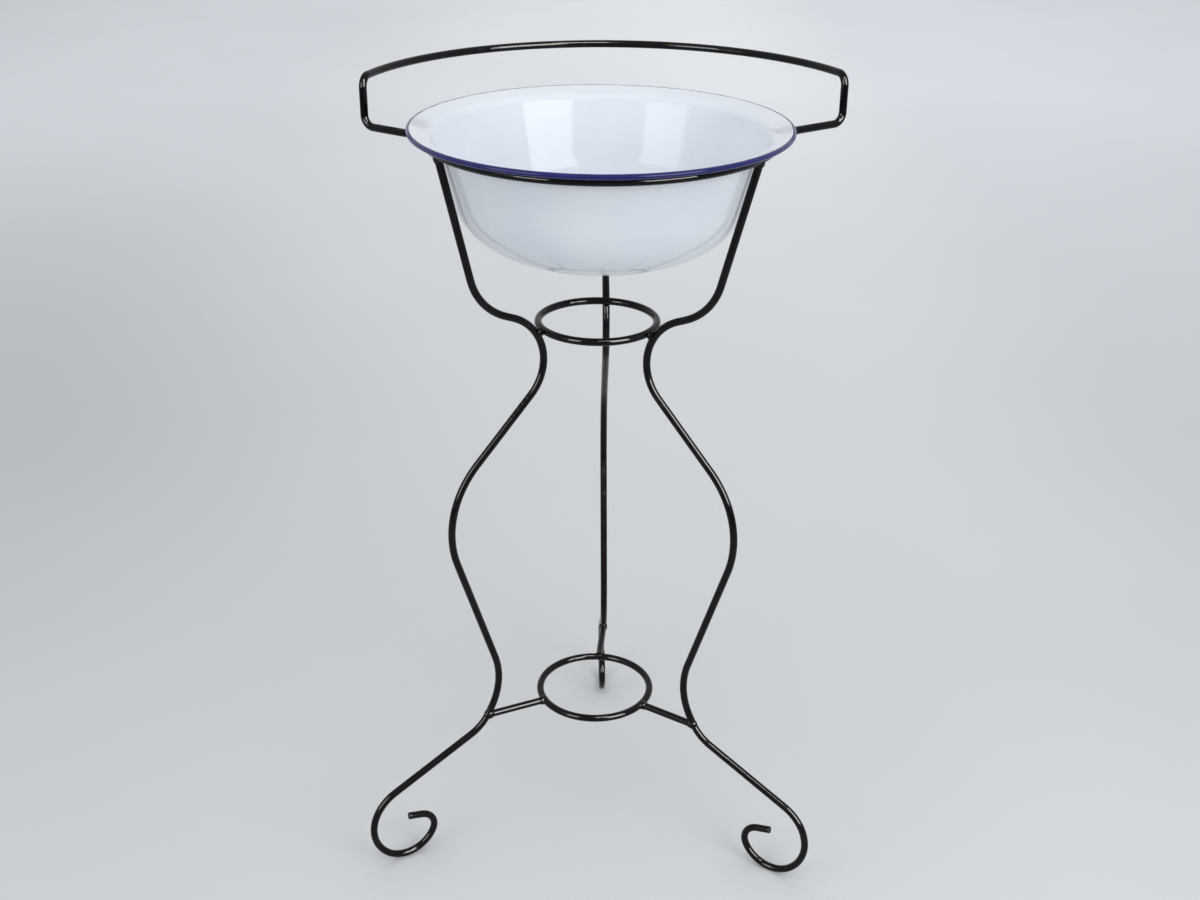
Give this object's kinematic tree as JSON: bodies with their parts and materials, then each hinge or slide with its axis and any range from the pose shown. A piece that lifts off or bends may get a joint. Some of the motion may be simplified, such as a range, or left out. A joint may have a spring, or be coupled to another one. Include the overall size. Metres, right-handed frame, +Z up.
{
  "type": "wash basin stand",
  "caption": "Wrought iron wash basin stand with scrolled bar legs, tie rings and a towel rail, holding a white enamelled lift-out basin with a navy rim.",
  "frame": {"origin": "On the floor under the middle of the top ring and of the basin. The waist ring and the lower ring share an axis 2 mm to the left of it. The three scroll feet touch the floor at z 0.", "axes": "+Z up. +Y to the back, where the rear leg and the middle of the towel rail's arch are. +X to the right of someone who stands in front of the basin."},
  "size_m": [0.5035, 0.473, 0.8588],
  "materials": {
    "black_paint": "gloss black paint on bent iron bar, with small chips",
    "enamel_white": "glossy white vitreous enamel with a navy blue curled rim"
  },
  "bodies": {
    "stand": {"top_ring": "black_paint", "waist_ring": "black_paint", "waist_ring_seam_weld": "black_paint", "lower_ring": "black_paint", "towel_rail": "black_paint", "rail_weld_left": "black_paint", "rail_weld_right": "black_paint", "leg_left": "black_paint", "spoke_left": "black_paint", "top_weld_left": "black_paint", "waist_weld_left": "black_paint", "foot_weld_left": "black_paint", "ring_weld_left": "black_paint", "leg_right": "black_paint", "spoke_right": "black_paint", "top_weld_right": "black_paint", "waist_weld_right": "black_paint", "foot_weld_right": "black_paint", "ring_weld_right": "black_paint", "leg_rear": "black_paint", "spoke_rear": "black_paint", "top_weld_rear": "black_paint", "waist_weld_rear": "black_paint", "foot_weld_rear": "black_paint", "ring_weld_rear": "black_paint"},
    "basin": {"basin": "enamel_white"}
  },
  "joints": [
    {"name": "basin_lift", "type": "slide", "parent": "stand", "child": "basin", "axis": [0, 0, 1], "range_m": [0, 0.25]}
  ]
}
